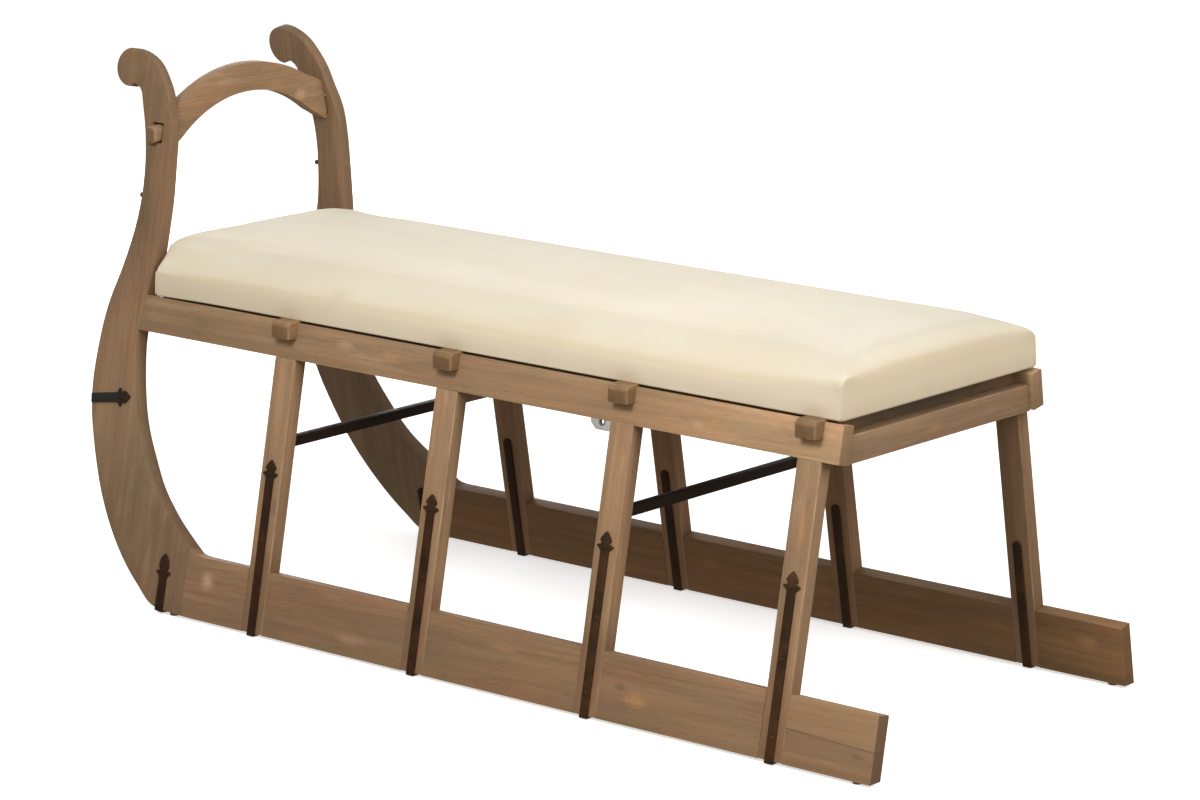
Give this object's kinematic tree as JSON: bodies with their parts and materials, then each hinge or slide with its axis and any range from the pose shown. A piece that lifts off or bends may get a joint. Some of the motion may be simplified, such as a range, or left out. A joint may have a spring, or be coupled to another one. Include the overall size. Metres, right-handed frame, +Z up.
{
  "type": "sleigh bench",
  "caption": "Upholstered bench on two splayed wooden sled sides, with curled front uprights, an arched crosspiece and iron straps round the legs.",
  "frame": {"origin": "on the floor under the middle of the overall box", "axes": "+X towards the curled front, +Y towards the sled's left side, +Z up"},
  "size_m": [1.4436, 0.6072, 0.7684],
  "materials": {
    "wood": "worn, oiled",
    "upholstery": "plain cotton weave",
    "iron": "blackened, forged",
    "bracket": "pale, dull",
    "glide": "brown pad"
  },
  "bodies": {
    "root": {"bearer_1": "wood", "bearer_2": "wood", "bearer_3": "wood", "bearer_4": "wood", "cross_rail": "wood", "cushion": "upholstery", "floor_glides": "glide", "front_arch": "wood", "front_stretcher": "iron", "left_brow_strap": "iron", "left_leg_1": "wood", "left_leg_1_strap": "iron", "left_leg_2": "wood", "left_leg_2_strap": "iron", "left_leg_3": "wood", "left_leg_3_strap": "iron", "left_leg_4": "wood", "left_leg_4_strap": "iron", "left_runner": "wood", "left_seat_rail": "wood", "left_toe_strap": "iron", "left_upright": "wood", "rear_apron": "wood", "rear_stretcher": "iron", "right_brow_strap": "iron", "right_leg_1": "wood", "right_leg_1_strap": "iron", "right_leg_2": "wood", "right_leg_2_strap": "iron", "right_leg_3": "wood", "right_leg_3_strap": "iron", "right_leg_4": "wood", "right_leg_4_strap": "iron", "right_runner": "wood", "right_seat_rail": "wood", "right_toe_strap": "iron", "right_upright": "wood", "rope_pins": "iron", "seat_board": "wood", "seat_brackets": "bracket"}
  },
  "joints": []
}
